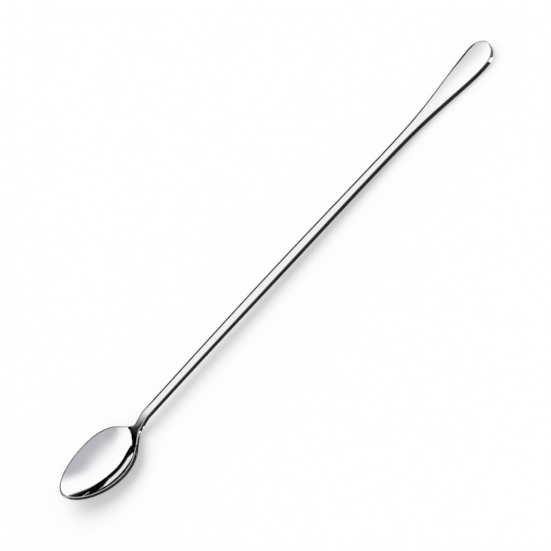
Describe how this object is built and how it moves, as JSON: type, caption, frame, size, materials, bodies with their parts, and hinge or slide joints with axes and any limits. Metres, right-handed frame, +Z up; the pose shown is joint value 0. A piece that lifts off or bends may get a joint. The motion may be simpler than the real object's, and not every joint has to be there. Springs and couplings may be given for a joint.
{
  "type": "iced tea spoon",
  "caption": "Long-handled polished steel spoon for stirring tall drinks: small oval bowl with a raised tip, slim flat stem, and an end that flares to a round.",
  "frame": {"origin": "on the table under the middle of the spoon's length and width, as it lies", "axes": "+X along the spoon towards the end of the handle, +Y across it, +Z up out of the bowl"},
  "size_m": [0.24, 0.0252, 0.0101],
  "materials": {
    "polished_steel": "mirror-polished stainless steel",
    "dressed_weld": "weld ground flush and polished"
  },
  "bodies": {
    "root": {"bowl": "polished_steel", "neck_weld": "dressed_weld", "handle": "polished_steel"}
  },
  "joints": []
}
